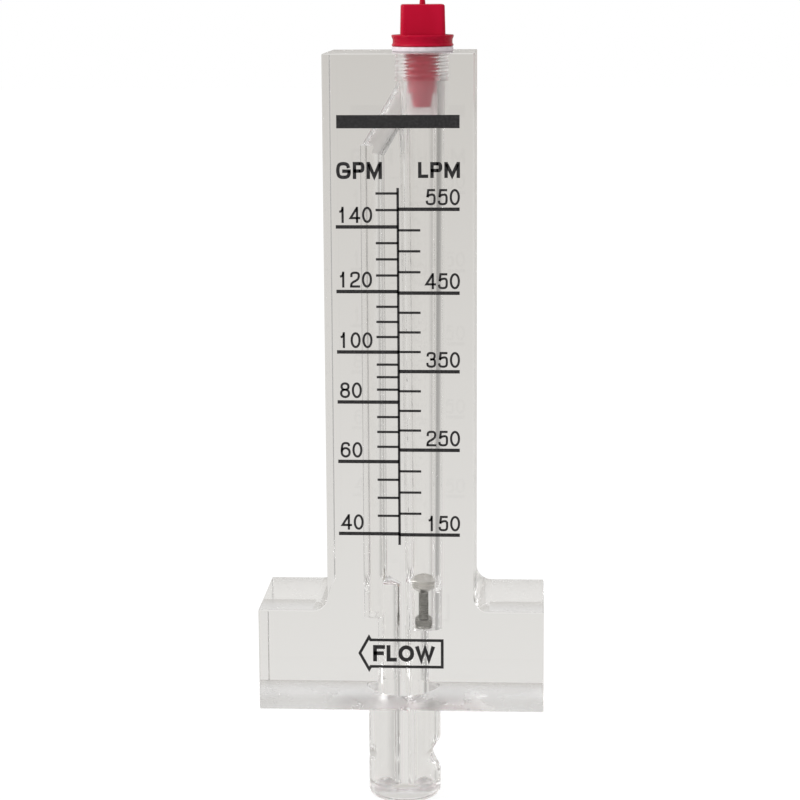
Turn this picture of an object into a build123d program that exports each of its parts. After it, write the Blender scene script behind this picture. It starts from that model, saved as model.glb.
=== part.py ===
from build123d import *
import os
from math import atan2, degrees, pi, sqrt, tan, radians

# Saddle-mounted flow meter machined from clear acrylic, in millimetres.
# The pipe runs along X and flow goes towards -X. +Z points away from the pipe.
# The origin is on the probe's axis, level with the saddle's two lips.

# The pipe that the meter sits on, 2 inch iron-pipe size
pipe_radius = 30.15

# Acrylic block: a wide base with a narrow upright standing on it
block_depth = 25.4
base_width = 56.4
base_height = 20.4
upright_width = 28.8
upright_height = 108.7
waist_fillet_radius = 3.0
edge_break = 0.35

# Metering bore, tapered so that the gap round the float grows as it rises
bore_offset = 4.15
bore_seat_radius = 3.66
bore_top_radius = 4.55
seat_above_socket = 5.7

# Port at the top of the metering bore, closed by the plug
port_depth = 5.4
port_countersink = 0.4
thread_clearance = 0.05

# Passages drilled side by side through the probe and the base
passage_radius = 2.38
passage_offset = 2.75
drill_point_angle = 118.0

# Return channel beside the metering bore, and the slanted drilling that feeds it from the port
return_offset = 5.5
return_radius = 2.38
return_foot_above_seat = 2.3
return_passage_overlap = 7.0
return_top_below_port = 17.8
crossover_below_return_top = 1.3
crossover_mouth_offset = 1.3

# Probe: a rod bonded into a socket in the saddle
probe_radius = 7.3
probe_reach = 21.6
tip_round = 1.5
spigot_undersize = 0.25
bond_line = 0.02
socket_depth = 6.2
probe_floor = 3.0
port_drop = 12.85
scoop_radius = 4.1
scoop_depth = 1.95
static_port_radius = 1.6

# Threaded plug with a square head
thread_radius = 5.2
thread_length = 4.5
thread_pitch = 1.27
thread_start_drop = 0.35
neck_radius = 4.6
flange_radius = 6.05
flange_thickness = 2.2
flange_dish = 0.5
flange_rim_width = 0.7
flange_waist_radius = 5.8
flange_lip = 0.45
head_width = 8.7
head_height = 5.8
head_draft = 1.5
head_corner_radius = 0.8
head_turn = 4.0
gate_radius = 0.5
gate_height = 1.0
pilot_radius = 4.0
pilot_length = 3.0
tip_radius = 3.2
tip_end_radius = 2.6
tip_length = 2.7

# Gasket between the flange and the top of the block
gasket_thickness = 1.0
gasket_radius = 5.95
gasket_clearance = 0.05

# Float
float_height = 10.0
float_head_radius = 3.46
float_head_rim = 1.4
float_head_taper = 1.4
float_stem_radius = 1.5
float_foot_radius = 2.6
float_foot_height = 1.8
float_edge_break = 0.15
float_stop_gap = 0.4

# How far a cut runs on into a space that is already open
cut_overrun = 0.4

# Bars and cones stand on the point that places them
standing = (Align.CENTER, Align.CENTER, Align.MIN)

# Places worked out from the sizes above
saddle_axis_z = -sqrt(pipe_radius ** 2 - (block_depth / 2) ** 2)
saddle_crown_z = saddle_axis_z + pipe_radius
socket_top_z = saddle_crown_z + socket_depth
seat_z = socket_top_z + seat_above_socket
block_top_z = base_height + upright_height
port_radius = thread_radius + thread_clearance
port_floor_z = block_top_z - port_depth
return_foot_z = seat_z + return_foot_above_seat
return_top_z = block_top_z - return_top_below_port
return_passage_top_z = return_foot_z + return_passage_overlap
spigot_radius = probe_radius - spigot_undersize
probe_tip_z = -probe_reach
passage_floor_z = probe_tip_z + probe_floor
gasket_top_z = block_top_z + gasket_thickness
thread_foot_z = block_top_z - thread_start_drop - thread_length
pilot_foot_z = thread_foot_z - pilot_length
plug_tip_z = pilot_foot_z - tip_length
float_top_z = seat_z + float_height
float_travel = plug_tip_z - float_stop_gap - float_top_z


def rod(x, radius, low_z, high_z):
    """A vertical round bar at the given X, between two heights."""
    return Pos(x, 0, low_z) * Cylinder(radius, high_z - low_z, align=standing)


def drill_point(x, radius, base_z, upwards):
    """The cone that a drill leaves at the end of a blind hole."""
    height = radius / tan(radians(drill_point_angle / 2))
    cone = Cone(radius, 0, height, align=standing)
    if not upwards:
        cone = Rot(180, 0, 0) * cone
    return Pos(x, 0, base_z) * cone


def turned(points, x=0.0):
    """A solid of revolution about a vertical axis, from (radius, height) points."""
    profile = make_face(Polyline(*[(radius, 0, height) for radius, height in points], close=True))
    return Pos(x, 0, 0) * revolve(profile, Axis.Z)


def block_blank():
    """The block before it is drilled: one extruded outline with a filleted waist."""
    half_base = base_width / 2
    half_upright = upright_width / 2
    outline = Polyline(
        (-half_base, 0),
        (half_base, 0),
        (half_base, base_height),
        (half_upright, base_height),
        (half_upright, block_top_z),
        (-half_upright, block_top_z),
        (-half_upright, base_height),
        (-half_base, base_height),
        close=True,
    )
    blank = extrude(Plane.XZ * make_face(outline), block_depth / 2, both=True)
    waist = blank.edges().filter_by(Axis.Y).filter_by(
        lambda edge: abs(abs(edge.center().X) - half_upright) < 0.01 and edge.center().Z < block_top_z - 1
    )
    blank = fillet(waist, waist_fillet_radius)
    rims = blank.faces().sort_by(Axis.Y)
    sharp = rims[0].edges() + rims[-1].edges()
    return chamfer(sharp, edge_break)


def saddle_cut():
    """The pipe's own cylinder, which hollows the underside."""
    pipe = Cylinder(pipe_radius, base_width * 2)
    return Pos(0, 0, saddle_axis_z) * Rot(0, 90, 0) * pipe


def metering_bore():
    """Threaded port, its countersink and the tapered bore under it."""
    taper = turned(
        [(0, seat_z), (bore_seat_radius, seat_z), (bore_top_radius, port_floor_z), (0, port_floor_z)],
        bore_offset,
    )
    port = turned(
        [
            (0, port_floor_z),
            (port_radius, port_floor_z),
            (port_radius, block_top_z - port_countersink),
            (port_radius + 2 * port_countersink, block_top_z + port_countersink),
            (0, block_top_z + port_countersink),
        ],
        bore_offset,
    )
    return taper + port


def return_channel():
    """The long channel, the slanted drilling from the port and the passage that meets its foot."""
    channel = rod(-return_offset, return_radius, return_foot_z, return_top_z)
    channel += drill_point(-return_offset, return_radius, return_top_z, True)
    low_z = return_top_z - crossover_below_return_top
    run_x = bore_offset + crossover_mouth_offset + return_offset
    run_z = block_top_z - low_z
    tilt = degrees(atan2(run_x, run_z))
    length = sqrt(run_x ** 2 + run_z ** 2)
    drilling = Cylinder(return_radius, length, align=standing)
    channel += Pos(-return_offset, 0, low_z) * Rot(0, tilt, 0) * drilling
    channel += rod(-passage_offset, passage_radius, saddle_crown_z, return_passage_top_z)
    channel += drill_point(-passage_offset, passage_radius, return_passage_top_z, True)
    return channel


def make_meter_body():
    """Acrylic block with its saddle, socket, tapered bore and drilled passages."""
    body = block_blank() - saddle_cut()
    body -= rod(0, spigot_radius + bond_line, saddle_axis_z, socket_top_z)
    body -= metering_bore()
    body -= rod(passage_offset, passage_radius, saddle_crown_z, seat_z + cut_overrun)
    body -= return_channel()
    return body


def make_pitot_probe():
    """Bonded rod with two blind passages, an upstream scoop and a small downstream hole."""
    probe = rod(0, probe_radius, probe_tip_z, 0)
    tip_edge = probe.edges().filter_by(GeomType.CIRCLE).sort_by(Axis.Z)[0]
    probe = fillet(tip_edge, tip_round)
    probe += rod(0, spigot_radius, 0, socket_top_z - bond_line)
    for side in (-1, 1):
        x = side * passage_offset
        probe -= rod(x, passage_radius, passage_floor_z, socket_top_z)
        probe -= drill_point(x, passage_radius, passage_floor_z, False)
    scoop_x = probe_radius - scoop_depth + scoop_radius
    scoop = Rot(90, 0, 0) * Cylinder(scoop_radius, 4 * probe_radius)
    probe -= Pos(scoop_x, 0, -port_drop) * scoop
    impact_port = Rot(0, 90, 0) * Cylinder(passage_radius, probe_radius, align=standing)
    probe -= Pos(passage_offset, 0, -port_drop) * impact_port
    static_port = Rot(0, -90, 0) * Cylinder(static_port_radius, probe_radius, align=standing)
    probe -= Pos(-passage_offset, 0, -port_drop) * static_port
    return probe


def plug_head():
    """Square head with draft and rounded corners, and the stub left where the mould was fed."""
    base_z = gasket_top_z + flange_thickness - flange_dish
    height = head_height + flange_dish
    square = RectangleRounded(head_width, head_width, head_corner_radius)
    head = extrude(square, height, taper=head_draft)
    top_face = head.faces().sort_by(Axis.Z)[-1]
    head = fillet(top_face.edges(), head_corner_radius / 2)
    head = Pos(bore_offset, 0, base_z) * Rot(0, 0, head_turn) * head
    top_z = base_z + height
    return head + rod(bore_offset, gate_radius, top_z - gate_radius, top_z + gate_height)


def make_top_plug():
    """Moulded plug: head, dished flange, neck, thread envelope, pilot and tapered tip."""
    flange_top_z = gasket_top_z + flange_thickness
    stem = turned(
        [
            (0, plug_tip_z),
            (tip_end_radius, plug_tip_z),
            (tip_radius, pilot_foot_z),
            (pilot_radius, pilot_foot_z),
            (pilot_radius, thread_foot_z),
            (thread_radius, thread_foot_z),
            (thread_radius, thread_foot_z + thread_length),
            (neck_radius, thread_foot_z + thread_length),
            (neck_radius, gasket_top_z),
            (flange_waist_radius, gasket_top_z),
            (flange_waist_radius, flange_top_z - 2 * flange_lip),
            (flange_radius, flange_top_z - flange_lip),
            (flange_radius, flange_top_z),
            (flange_radius - flange_rim_width, flange_top_z),
            (flange_radius - 2 * flange_rim_width, flange_top_z - flange_dish),
            (0, flange_top_z - flange_dish),
        ],
        bore_offset,
    )
    return stem + plug_head()


def make_plug_gasket():
    """Flat ring clamped under the flange."""
    ring = rod(bore_offset, gasket_radius, block_top_z, gasket_top_z)
    return ring - rod(bore_offset, neck_radius + gasket_clearance, block_top_z, gasket_top_z)


def make_metering_float():
    """Turned float: a wide head read against the scale, a thin stem and a foot that lands on the seat."""
    foot_top_z = seat_z + float_foot_height
    head_rim_z = float_top_z - float_head_rim
    head_foot_z = head_rim_z - float_head_taper
    return turned(
        [
            (0, seat_z),
            (float_foot_radius - float_edge_break, seat_z),
            (float_foot_radius, seat_z + float_edge_break),
            (float_foot_radius, foot_top_z - float_edge_break),
            (float_foot_radius - float_edge_break, foot_top_z),
            (float_stem_radius, foot_top_z),
            (float_stem_radius, head_foot_z),
            (float_head_radius, head_rim_z),
            (float_head_radius, float_top_z - float_edge_break),
            (float_head_radius - float_edge_break, float_top_z),
            (0, float_top_z),
        ],
        bore_offset,
    )


pieces = {
    "meter_body": make_meter_body,
    "pitot_probe": make_pitot_probe,
    "top_plug": make_top_plug,
    "plug_gasket": make_plug_gasket,
    "metering_float": make_metering_float,
}

os.makedirs("parts", exist_ok=True)
for name, make in pieces.items():
    export_step(make(), f"parts/{name}.step")

plug_turns = thread_length / thread_pitch
print(f"saddle crown {saddle_crown_z:.3f}, seat {seat_z:.3f}, top {block_top_z:.3f}")
print(f"plug tip {plug_tip_z:.3f}, float travel {float_travel:.3f}")
print(f"plug lift {thread_length:.3f}, {plug_turns * 360:.1f} degrees, per radian {thread_pitch / (2 * pi):.6f}")
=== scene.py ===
"""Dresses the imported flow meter.

The clear block and the probe that is bonded into it become one acrylic solid, with polished faces and drilled
bores. The plug gets its thread, the gasket and the float their pressed and turned forms, and the scale is printed
on the block's face. Lengths are in metres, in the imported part's own frame.
"""
import logging
from dataclasses import dataclass, field
from enum import Enum
from math import atan2, cos, floor, pi, radians, sin, sqrt, tan
from typing import Any, Mapping, Optional, Sequence, Union

import bmesh
import bpy
from mathutils import Matrix, Vector


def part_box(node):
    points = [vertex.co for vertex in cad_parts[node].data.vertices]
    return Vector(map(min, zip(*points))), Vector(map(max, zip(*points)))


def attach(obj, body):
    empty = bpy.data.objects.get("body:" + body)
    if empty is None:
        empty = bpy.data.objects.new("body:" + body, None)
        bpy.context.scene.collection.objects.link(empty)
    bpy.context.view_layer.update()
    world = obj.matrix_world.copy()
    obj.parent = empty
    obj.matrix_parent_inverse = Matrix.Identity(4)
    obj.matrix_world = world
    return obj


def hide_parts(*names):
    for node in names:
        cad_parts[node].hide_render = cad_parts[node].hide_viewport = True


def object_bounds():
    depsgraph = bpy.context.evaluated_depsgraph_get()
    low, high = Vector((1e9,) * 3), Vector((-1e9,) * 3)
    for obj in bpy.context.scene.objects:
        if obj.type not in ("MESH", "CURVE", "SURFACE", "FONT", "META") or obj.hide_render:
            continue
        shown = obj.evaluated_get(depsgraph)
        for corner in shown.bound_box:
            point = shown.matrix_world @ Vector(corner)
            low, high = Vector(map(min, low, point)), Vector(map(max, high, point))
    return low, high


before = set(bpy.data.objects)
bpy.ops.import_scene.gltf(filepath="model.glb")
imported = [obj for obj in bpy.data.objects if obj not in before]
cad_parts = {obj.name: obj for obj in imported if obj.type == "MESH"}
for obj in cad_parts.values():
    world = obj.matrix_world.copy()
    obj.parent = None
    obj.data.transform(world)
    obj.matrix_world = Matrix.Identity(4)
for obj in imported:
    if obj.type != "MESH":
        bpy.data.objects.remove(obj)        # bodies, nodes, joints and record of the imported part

CAD_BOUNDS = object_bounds()
MM = 0.001
LOG = logging.getLogger("flow_meter")

Colour = tuple[float, float, float]
Corner = tuple[float, float]
Point = tuple[float, float, float]
Operand = Union["Wire", float, int]


class Wire:
    """A shader socket that arithmetic can be written on."""

    def __init__(self, graph: "Graph", socket: bpy.types.NodeSocket) -> None:
        """Keep the graph that new nodes go into, and the socket.

        Args:
            graph: The node tree that the socket belongs to.
            socket: The output socket.
        """
        self.graph = graph
        self.socket = socket

    def other(self, name: str) -> "Wire":
        """Return another output of the same node."""
        return Wire(self.graph, self.socket.node.outputs[name])

    def _math(self, operation: str, first: Operand, second: Operand = 0.0) -> "Wire":
        """Add one Math node.

        Args:
            operation: The node's operation.
            first: The first operand.
            second: The second operand.

        Returns:
            The result.
        """
        return self.graph.node("ShaderNodeMath", {"operation": operation}, {0: first, 1: second})

    def __add__(self, other: Operand) -> "Wire":
        """Return self + other."""
        return self._math("ADD", self, other)

    def __radd__(self, other: Operand) -> "Wire":
        """Return other + self."""
        return self._math("ADD", other, self)

    def __sub__(self, other: Operand) -> "Wire":
        """Return self - other."""
        return self._math("SUBTRACT", self, other)

    def __rsub__(self, other: Operand) -> "Wire":
        """Return other - self."""
        return self._math("SUBTRACT", other, self)

    def __mul__(self, other: Operand) -> "Wire":
        """Return self * other."""
        return self._math("MULTIPLY", self, other)

    def __rmul__(self, other: Operand) -> "Wire":
        """Return other * self."""
        return self._math("MULTIPLY", other, self)

    def most(self, other: Operand) -> "Wire":
        """Return the larger of self and other."""
        return self._math("MAXIMUM", self, other)

    def sine(self) -> "Wire":
        """Return the sine of self."""
        return self._math("SINE", self)

    def ranged(self, low: float, high: float, to_low: float, to_high: float, smooth: bool = True) -> "Wire":
        """Map one range to another, and clamp it.

        Args:
            low: Where the input range starts.
            high: Where the input range ends.
            to_low: The result at low.
            to_high: The result at high.
            smooth: Whether the result eases in and out.

        Returns:
            The mapped value.
        """
        kind = "SMOOTHSTEP" if smooth else "LINEAR"
        return self.graph.node(
            "ShaderNodeMapRange", {"interpolation_type": kind}, {0: self, 1: low, 2: high, 3: to_low, 4: to_high}
        )


class Graph:
    """A shader tree written as calls and expressions."""

    def __init__(self, tree: bpy.types.NodeTree) -> None:
        """Empty the tree and keep it."""
        self.tree = tree
        tree.nodes.clear()

    def feed(self, socket: bpy.types.NodeSocket, value: Any) -> None:
        """Link a wire to a socket, or set the socket to a number, colour or vector.

        Args:
            socket: The input socket.
            value: A wire, or the value that the socket takes.
        """
        if isinstance(value, Wire):
            self.tree.links.new(value.socket, socket)
        elif isinstance(value, tuple) and len(value) == 3 and socket.type == "RGBA":
            socket.default_value = (*value, 1.0)
        else:
            socket.default_value = value

    def node(
        self,
        kind: str,
        settings: Optional[Mapping[str, Any]] = None,
        sockets: Optional[Mapping[Union[str, int], Any]] = None,
        result: int = 0,
    ) -> Optional[Wire]:
        """Add a node.

        Args:
            kind: The node's type.
            settings: Its properties, which are set first. The key stops fills a ramp.
            sockets: The values or wires of its inputs, by name or by place.
            result: The place of the output to return.

        Returns:
            A wire on that output, or None for a node with no output.
        """
        made = self.tree.nodes.new(kind)
        for key, value in (settings or {}).items():
            if key == "stops":
                self._fill_ramp(made.color_ramp, value)
            else:
                setattr(made, key, value)
        for key, value in (sockets or {}).items():
            self.feed(made.inputs[key], value)
        return Wire(self, made.outputs[result]) if made.outputs else None

    @staticmethod
    def _fill_ramp(ramp: bpy.types.ColorRamp, stops: Sequence[tuple[float, Colour]]) -> None:
        """Give a colour ramp its stops.

        Args:
            ramp: The node's ramp, which has two stops when it is new.
            stops: The place and colour of each stop, in order.
        """
        while len(ramp.elements) < len(stops):
            ramp.elements.new(1.0)
        for element, (place, colour) in zip(ramp.elements, stops):
            element.position = place
            element.color = (*colour, 1.0)

    def blend(self, factor: Operand, first: Any, second: Any, kind: str = "MIX") -> Wire:
        """Mix two colours.

        Args:
            factor: The share of the second colour.
            first: The first colour or wire.
            second: The second colour or wire.
            kind: The way that they mix.

        Returns:
            The mixed colour.
        """
        settings = {"data_type": "RGBA", "blend_type": kind}
        return self.node("ShaderNodeMix", settings, {0: factor, 6: first, 7: second}, 2)

    def place(self) -> Wire:
        """Return the Object coordinates."""
        return self.node("ShaderNodeTexCoord", result=3)

    def stretched(self, scale: Point) -> Wire:
        """Return the Object coordinates, scaled along each axis.

        Args:
            scale: The factor along X, Y and Z.

        Returns:
            The scaled coordinates.
        """
        return self.node("ShaderNodeVectorMath", {"operation": "MULTIPLY"}, {0: self.place(), 1: scale})

    def noise(self, vector: Wire, scale: float, detail: float = 2.0, roughness: float = 0.5) -> Wire:
        """Return a noise texture's value.

        Args:
            vector: The coordinates that it reads.
            scale: Its scale on them.
            detail: Its octaves.
            roughness: How much the finer octaves weigh.

        Returns:
            The noise, from 0 to 1.
        """
        sockets = {"Vector": vector, "Scale": scale, "Detail": detail, "Roughness": roughness}
        return self.node("ShaderNodeTexNoise", None, sockets)

    def bump(self, height: Wire, distance: float) -> Wire:
        """Return a normal that a height bends.

        Args:
            height: The height, from 0 to 1.
            distance: What a height of 1 measures, in metres.

        Returns:
            The bent normal.
        """
        return self.node("ShaderNodeBump", None, {"Strength": 1.0, "Distance": distance, "Height": height})


def new_material(name: str) -> tuple[bpy.types.Material, Graph]:
    """Make a material with an empty tree.

    Args:
        name: The material's name.

    Returns:
        The material and its graph.
    """
    material = bpy.data.materials.new(name)
    material.use_nodes = True
    return material, Graph(material.node_tree)


def dress(graph: Graph, sockets: Mapping[str, Any]) -> None:
    """Add a Principled shader and the output.

    Args:
        graph: The material's graph.
        sockets: The values or wires of the shader's inputs.
    """
    surface = graph.node("ShaderNodeBsdfPrincipled", None, sockets)
    graph.node("ShaderNodeOutputMaterial", None, {"Surface": surface})


@dataclass(frozen=True)
class AcrylicFinish:
    """Clear acrylic, with the faint marks of the tool that made the face."""

    name: str
    mark_scale: Point
    mark_height: float
    rough_low: float
    rough_high: float
    clarity: float = 1.0
    # the acrylic's own faint tint, or on some finishes a tint that is painted light or painted shade
    tint: Colour = (1.0, 0.997, 0.992)
    refraction: float = 1.49
    smudge_scale: float = 140.0

    def make(self) -> bpy.types.Material:
        """Build the material."""
        material, graph = new_material(self.name)
        smudge = graph.noise(graph.place(), self.smudge_scale, 4.0, 0.6)
        marks = graph.noise(graph.stretched(self.mark_scale), 1.0, 3.0, 0.55)
        sockets = {
            "Base Color": self.tint,
            "Roughness": smudge.ranged(0.45, 0.75, self.rough_low, self.rough_high),
            "IOR": self.refraction,
            "Transmission Weight": self.clarity,
            "Normal": graph.bump(marks, self.mark_height),
        }
        dress(graph, sockets)
        return material


class Face(Enum):
    """The finishes of the acrylic, in the order of its material slots."""

    CAST = AcrylicFinish("acrylic_cast", (60.0, 60.0, 30.0), 2.0e-6, 0.0, 0.010)
    MACHINED = AcrylicFinish("acrylic_machined", (900.0, 40.0, 900.0), 0.9e-6, 0.07, 0.13)
    REAMED = AcrylicFinish("acrylic_reamed", (220.0, 220.0, 900.0), 0.5e-6, 0.03, 0.07)
    DRILLED = AcrylicFinish("acrylic_drilled", (220.0, 220.0, 900.0), 0.8e-6, 0.10, 0.16)
    MILLED = AcrylicFinish("acrylic_milled", (1600.0, 160.0, 1600.0), 1.2e-6, 0.26, 0.32)
    # painted light: the pink tints of the tapped and scored finishes stand for the red plug's glow through the hazy
    # port, and stay pink when the plug is lifted out
    TAPPED = AcrylicFinish("acrylic_tapped_red_glow", (900.0, 900.0, 2400.0), 0.8e-6, 0.28, 0.36, 0.92, (1.0, 0.80, 0.83))
    SCORED = AcrylicFinish("acrylic_scored_red_glow", (700.0, 700.0, 1800.0), 1.0e-6, 0.32, 0.42, 0.78, (1.0, 0.93, 0.94))
    # painted shade: the crossover's grey tint darkens it to dim its bright glints
    CROSSED = AcrylicFinish("acrylic_crossed_painted_shade", (400.0, 400.0, 900.0), 1.0e-6, 0.42, 0.52, 0.90, (0.90, 0.885, 0.88))


@dataclass(frozen=True)
class MouldedFinish:
    """Red moulded plastic with faint flow marks and a satin gloss, painted paler and pinker from about the block's top
    downwards: painted light for the glow of the part inside the port.
    """

    name: str = "plastic_red"
    deep: Colour = (0.41, 0.0010, 0.021)
    bright: Colour = (0.47, 0.0018, 0.028)
    # thin: painted light, a paler pinker red for the glow round the part of the plug inside the hazy port
    thin: Colour = (0.73, 0.045, 0.105)
    thin_below: float = 129.3 * MM
    flow_scale: float = 160.0
    grain_scale: float = 4200.0
    grain_height: float = 4.0e-6

    def make(self) -> bpy.types.Material:
        """Build the material."""
        material, graph = new_material(self.name)
        flow = graph.noise(graph.stretched((1.0, 1.0, 0.35)), self.flow_scale, 3.0)
        grain = graph.noise(graph.place(), self.grain_scale, 2.0)
        height = graph.node("ShaderNodeSeparateXYZ", None, {0: graph.place()}, 2)
        # painted light: the share of the paler red, from about the block's top downwards
        stem = height.ranged(self.thin_below - 1.0 * MM, self.thin_below, 1.0, 0.0)
        moulded = graph.blend(flow.ranged(0.3, 0.7, 0.0, 1.0), self.deep, self.bright)
        sockets = {
            # the moulded red with the painted light mixed in below
            "Base Color": graph.blend(stem, moulded, self.thin),
            "Roughness": flow.ranged(0.3, 0.7, 0.26, 0.36),
            "Specular IOR Level": 0.12,
            "Normal": graph.bump(grain, self.grain_height),
        }
        dress(graph, sockets)
        return material


@dataclass(frozen=True)
class GasketFinish:
    """Pale, soft, slightly milky elastomer."""

    name: str = "elastomer_pale"
    milky: Colour = (0.71, 0.63, 0.67)
    clear: Colour = (0.80, 0.72, 0.76)
    cloud_scale: float = 900.0
    skin_scale: float = 5200.0
    skin_height: float = 6.0e-6

    def make(self) -> bpy.types.Material:
        """Build the material."""
        material, graph = new_material(self.name)
        cloud = graph.noise(graph.place(), self.cloud_scale, 3.0)
        skin = graph.noise(graph.place(), self.skin_scale, 2.0)
        sockets = {
            "Base Color": graph.blend(cloud.ranged(0.35, 0.65, 0.0, 1.0), self.milky, self.clear),
            "Roughness": cloud.ranged(0.35, 0.65, 0.38, 0.5),
            "Normal": graph.bump(skin, self.skin_height),
        }
        dress(graph, sockets)
        return material


@dataclass(frozen=True)
class TurnedSteelFinish:
    """Stainless steel with the fine rings that a lathe leaves."""

    name: str = "steel_turned"
    dark: Colour = (0.24, 0.235, 0.22)
    light: Colour = (0.46, 0.45, 0.43)
    polished: Colour = (0.72, 0.70, 0.67)
    polished_above: float = 21.6 * MM
    ring_scale: Point = (60.0, 60.0, 5200.0)
    ring_height: float = 5.0e-6
    stain_scale: float = 420.0

    def make(self) -> bpy.types.Material:
        """Build the material."""
        material, graph = new_material(self.name)
        rings = graph.noise(graph.stretched(self.ring_scale), 1.0, 3.0, 0.6)
        stain = graph.noise(graph.place(), self.stain_scale, 3.0)
        height = graph.node("ShaderNodeSeparateXYZ", None, {0: graph.place()}, 2)
        head = height.ranged(self.polished_above, self.polished_above + 0.6 * MM, 0.0, 0.8)
        turned_steel = graph.blend(stain.ranged(0.3, 0.7, 0.0, 1.0), self.dark, self.light)
        sockets = {
            "Base Color": graph.blend(head, turned_steel, self.polished),
            "Metallic": 1.0,
            "Roughness": rings.ranged(0.3, 0.7, 0.22, 0.40),
            "Normal": graph.bump(rings, self.ring_height),
        }
        dress(graph, sockets)
        return material


@dataclass(frozen=True)
class InkFinish:
    """Screen-printed ink: a matt film that is a little thinner in places."""

    name: str = "ink_charcoal"
    full: Colour = (0.018, 0.017, 0.018)
    thin: Colour = (0.036, 0.034, 0.036)
    mesh_scale: float = 2600.0
    film_height: float = 3.0e-6

    def make(self) -> bpy.types.Material:
        """Build the material."""
        material, graph = new_material(self.name)
        film = graph.noise(graph.place(), self.mesh_scale, 3.0)
        sockets = {
            "Base Color": graph.blend(film.ranged(0.4, 0.7, 0.0, 1.0), self.full, self.thin),
            "Roughness": film.ranged(0.3, 0.7, 0.5, 0.66),
            "Normal": graph.bump(film, self.film_height),
        }
        dress(graph, sockets)
        return material


def mesh_object(
    name: str, corners: Sequence[Point], faces: Sequence[Sequence[int]], merge: float = 1e-7
) -> bpy.types.Object:
    """Make an object from corners and faces, with its faces turned outwards.

    Args:
        name: The object's name.
        corners: The places of the corners.
        faces: The corners of each face.
        merge: How near two corners are to be one, or 0 to merge none.

    Returns:
        The object, at the origin.
    """
    mesh = bpy.data.meshes.new(name)
    mesh.from_pydata([tuple(corner) for corner in corners], [], [tuple(face) for face in faces])
    made = bpy.data.objects.new(name, mesh)
    bpy.context.scene.collection.objects.link(made)
    face_outwards(mesh, merge)
    return made


def face_outwards(mesh: bpy.types.Mesh, merge: float = 1e-7) -> None:
    """Merge doubled corners and turn the faces outwards.

    Args:
        mesh: The mesh to mend.
        merge: How near two corners are to be one, or 0 to merge none.
    """
    shape = bmesh.new()
    shape.from_mesh(mesh)
    if merge:
        bmesh.ops.remove_doubles(shape, verts=shape.verts, dist=merge)
        bmesh.ops.dissolve_degenerate(shape, edges=shape.edges, dist=merge)
    bmesh.ops.recalc_face_normals(shape, faces=shape.faces)
    shape.to_mesh(mesh)
    shape.free()


def shade(mesh: bpy.types.Mesh, crease: float = radians(24), broad: float = 60 * MM * MM) -> None:
    """Smooth round faces, and keep corners and broad flat faces crisp.

    Args:
        mesh: The mesh to shade.
        crease: The angle past which an edge is sharp.
        broad: The area past which a face keeps its own normal.
    """
    flush = radians(0.2)
    shape = bmesh.new()
    shape.from_mesh(mesh)
    for face in shape.faces:
        face.smooth = True
    for edge in shape.edges:
        if len(edge.link_faces) != 2:
            edge.smooth = False
            continue
        turn = edge.calc_face_angle(0.0)
        beside_broad = any(face.calc_area() > broad for face in edge.link_faces)
        edge.smooth = turn < crease and not (beside_broad and turn > flush)
    shape.to_mesh(mesh)
    shape.free()


def turned(
    name: str, profile: Sequence[Corner], axis_x: float = 0.0, sides: int = 96, ring: bool = False
) -> bpy.types.Object:
    """Turn a profile about a vertical axis.

    Args:
        name: The object's name.
        profile: The radius and height of each corner. It starts and ends on the axis, unless it is a ring's.
        axis_x: Where the axis stands along X.
        sides: How many flats approximate the circle.
        ring: Whether the profile is a closed loop away from the axis.

    Returns:
        The turned solid.
    """
    corners: list[Point] = []
    rows: list[list[int]] = []
    for radius, height in profile:
        count = sides if radius > 0 else 1
        rows.append(list(range(len(corners), len(corners) + count)))
        for step in range(count):
            angle = 2 * pi * step / sides
            corners.append((axis_x + radius * cos(angle), radius * sin(angle), height))
    faces: list[list[int]] = []
    pairs = list(zip(rows, rows[1:] + rows[:1])) if ring else list(zip(rows, rows[1:]))
    for low, high in pairs:
        faces.extend(_skin(low, high, sides))
    return mesh_object(name, corners, faces)


def _skin(low: list[int], high: list[int], sides: int) -> list[list[int]]:
    """Join two rows of a turned solid.

    Args:
        low: The corners of the lower row, or its pole.
        high: The corners of the upper row, or its pole.
        sides: How many corners a full row has.

    Returns:
        The faces between them.
    """
    faces: list[list[int]] = []
    for step in range(sides):
        following = (step + 1) % sides
        face = [low[step % len(low)], low[following % len(low)], high[following % len(high)], high[step % len(high)]]
        corners = list(dict.fromkeys(face))
        if len(corners) > 2:
            faces.append(corners)
    return faces


def rounded_corner(centre: Corner, radius: float, start: float, end: float, steps: int) -> list[Corner]:
    """Points along an arc.

    Args:
        centre: The arc's centre.
        radius: The arc's radius.
        start: The angle that it starts at, in degrees.
        end: The angle that it ends at, in degrees.
        steps: How many chords it has.

    Returns:
        The points, the two ends included.
    """
    points = []
    for step in range(steps + 1):
        angle = radians(start + (end - start) * step / steps)
        points.append((centre[0] + radius * cos(angle), centre[1] + radius * sin(angle)))
    return points


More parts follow.
